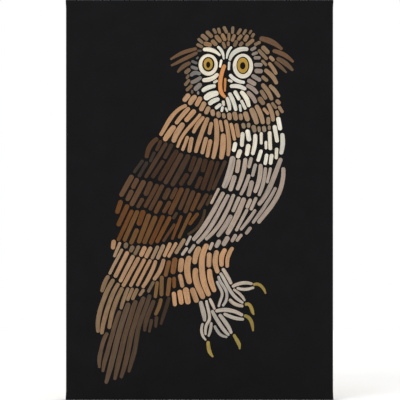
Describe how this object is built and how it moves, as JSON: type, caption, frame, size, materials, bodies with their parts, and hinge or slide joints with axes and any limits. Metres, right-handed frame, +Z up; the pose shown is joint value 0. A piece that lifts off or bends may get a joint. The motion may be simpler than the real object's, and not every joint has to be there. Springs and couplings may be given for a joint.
{
  "type": "painted canvas panel",
  "caption": "Upright stretched canvas on a mitred wooden stretcher, with an owl in separate raised paint strokes and D-ring hangers on the back.",
  "frame": {"origin": "middle of the bottom edge face that the panel stands on, half way through its depth", "axes": "+Z up the panel, -Y out of the painted front, +X to the right of someone who faces the front"},
  "size_m": [0.4, 0.0258, 0.6],
  "materials": {
    "black_canvas": "matte black gesso over cotton weave",
    "pine": "planed, unfinished",
    "beech": "sawn, unfinished",
    "zinc_steel": "zinc plated",
    "staple_wire": "galvanised wire",
    "paint_beak": "matte acrylic brush strokes",
    "paint_breast_grey_hem": "matte acrylic brush strokes",
    "paint_breast_grey_lower": "matte acrylic brush strokes",
    "paint_breast_grey_upper": "matte acrylic brush strokes",
    "paint_breast_white": "matte acrylic brush strokes",
    "paint_brows": "matte acrylic brush strokes",
    "paint_cape": "matte acrylic brush strokes",
    "paint_cheek_left": "matte acrylic brush strokes",
    "paint_cheek_right": "matte acrylic brush strokes",
    "paint_chin": "matte acrylic brush strokes",
    "paint_claws": "matte acrylic brush strokes",
    "paint_crown_inner": "matte acrylic brush strokes",
    "paint_crown_middle": "matte acrylic brush strokes",
    "paint_crown_outer": "matte acrylic brush strokes",
    "paint_ear_tuft_left": "matte acrylic brush strokes",
    "paint_ear_tuft_right": "matte acrylic brush strokes",
    "paint_eye_rims": "matte acrylic brush strokes",
    "paint_face_left": "matte acrylic brush strokes",
    "paint_face_right": "matte acrylic brush strokes",
    "paint_head_side_right": "matte acrylic brush strokes",
    "paint_irises": "matte acrylic brush strokes",
    "paint_leg_left": "matte acrylic brush strokes",
    "paint_leg_right": "matte acrylic brush strokes",
    "paint_nostril_strokes": "matte acrylic brush strokes",
    "paint_ruff": "matte acrylic brush strokes",
    "paint_rump_band": "matte acrylic brush strokes",
    "paint_tail_coverts_lower": "matte acrylic brush strokes",
    "paint_tail_coverts_upper": "matte acrylic brush strokes",
    "paint_tail_feathers": "matte acrylic brush strokes",
    "paint_temple_left": "matte acrylic brush strokes",
    "paint_thigh": "matte acrylic brush strokes",
    "paint_toes_left": "matte acrylic brush strokes",
    "paint_toes_right": "matte acrylic brush strokes",
    "paint_undertail": "matte acrylic brush strokes",
    "paint_wing_row_lower": "matte acrylic brush strokes",
    "paint_wing_row_middle": "matte acrylic brush strokes",
    "paint_wing_row_upper": "matte acrylic brush strokes"
  },
  "bodies": {
    "panel": {"beak": "paint_beak", "breast_grey_hem": "paint_breast_grey_hem", "breast_grey_lower": "paint_breast_grey_lower", "breast_grey_upper": "paint_breast_grey_upper", "breast_white": "paint_breast_white", "brows": "paint_brows", "canvas_front": "black_canvas", "canvas_wrap_bottom": "black_canvas", "canvas_wrap_left": "black_canvas", "canvas_wrap_right": "black_canvas", "canvas_wrap_top": "black_canvas", "cape": "paint_cape", "cheek_left": "paint_cheek_left", "cheek_right": "paint_cheek_right", "chin": "paint_chin", "claws": "paint_claws", "corner_key_1": "beech", "corner_key_2": "beech", "corner_key_3": "beech", "corner_key_4": "beech", "corner_key_5": "beech", "corner_key_6": "beech", "corner_key_7": "beech", "corner_key_8": "beech", "crown_inner": "paint_crown_inner", "crown_middle": "paint_crown_middle", "crown_outer": "paint_crown_outer", "ear_tuft_left": "paint_ear_tuft_left", "ear_tuft_right": "paint_ear_tuft_right", "eye_rims": "paint_eye_rims", "face_left": "paint_face_left", "face_right": "paint_face_right", "hanger_screws": "zinc_steel", "hanger_strap_left": "zinc_steel", "hanger_strap_right": "zinc_steel", "head_side_right": "paint_head_side_right", "irises": "paint_irises", "leg_left": "paint_leg_left", "leg_right": "paint_leg_right", "nostril_strokes": "paint_nostril_strokes", "ruff": "paint_ruff", "rump_band": "paint_rump_band", "staples": "staple_wire", "stretcher_bar_bottom": "pine", "stretcher_bar_left": "pine", "stretcher_bar_right": "pine", "stretcher_bar_top": "pine", "tail_coverts_lower": "paint_tail_coverts_lower", "tail_coverts_upper": "paint_tail_coverts_upper", "tail_feathers": "paint_tail_feathers", "temple_left": "paint_temple_left", "thigh": "paint_thigh", "toes_left": "paint_toes_left", "toes_right": "paint_toes_right", "undertail": "paint_undertail", "wing_row_lower": "paint_wing_row_lower", "wing_row_middle": "paint_wing_row_middle", "wing_row_upper": "paint_wing_row_upper"},
    "ring_left": {"hanger_ring_left": "zinc_steel"},
    "ring_right": {"hanger_ring_right": "zinc_steel"}
  },
  "joints": [
    {"name": "ring_left_swing", "type": "hinge", "parent": "panel", "child": "ring_left", "pos_m": [-0.168, 0.0122, 0.45], "axis": [1, 0, 0], "range_deg": [0, 180]},
    {"name": "ring_right_swing", "type": "hinge", "parent": "panel", "child": "ring_right", "pos_m": [0.168, 0.0122, 0.45], "axis": [1, 0, 0], "range_deg": [0, 180]}
  ]
}
